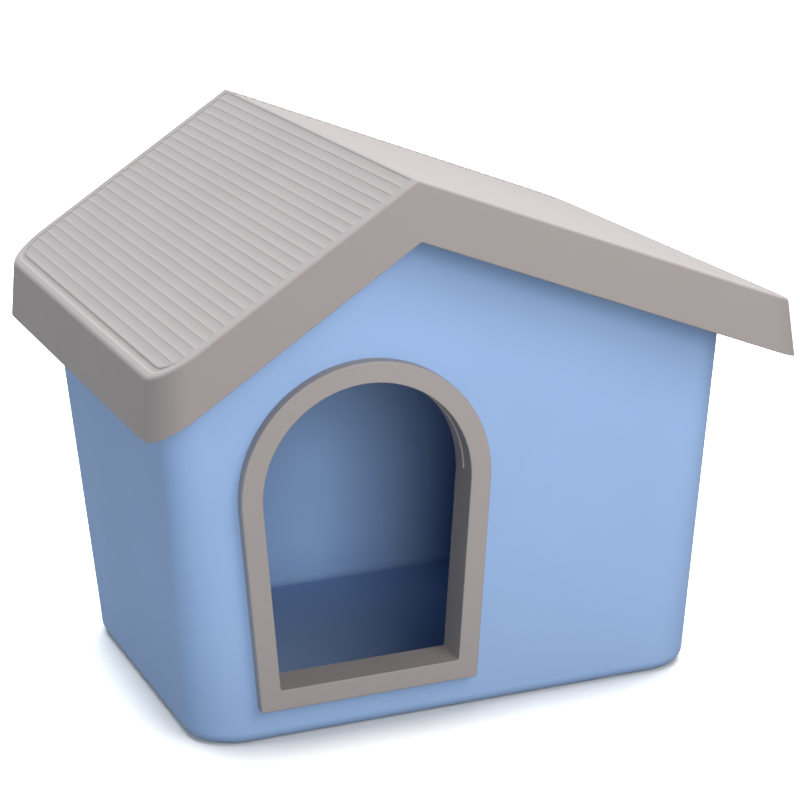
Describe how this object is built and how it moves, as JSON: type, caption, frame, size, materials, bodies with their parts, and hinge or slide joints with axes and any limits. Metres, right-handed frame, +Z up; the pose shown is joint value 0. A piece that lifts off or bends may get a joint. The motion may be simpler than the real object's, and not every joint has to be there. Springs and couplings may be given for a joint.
{
  "type": "pet house",
  "caption": "Small moulded kennel: tapered one-piece tub, saltbox roof with slatted slopes that lifts off, and an arched door surround with a sill.",
  "frame": {"origin": "on the floor, under the middle of the roof's outline", "axes": "+Z up, -Y out of the doorway, +X to the right of someone who faces the doorway"},
  "size_m": [0.512, 0.4494, 0.4313],
  "materials": {
    "tub_plastic": "light blue polypropylene with a fine satin grain",
    "roof_plastic": "warm grey polypropylene with a fine satin grain",
    "surround_plastic": "warm grey polypropylene, smooth satin"
  },
  "bodies": {
    "house": {"tub": "tub_plastic", "door_surround": "surround_plastic"},
    "roof": {"roof": "roof_plastic"}
  },
  "joints": [
    {"name": "roof_lift", "type": "slide", "parent": "house", "child": "roof", "axis": [0, 0, 1], "range_m": [0, 0.22]}
  ]
}
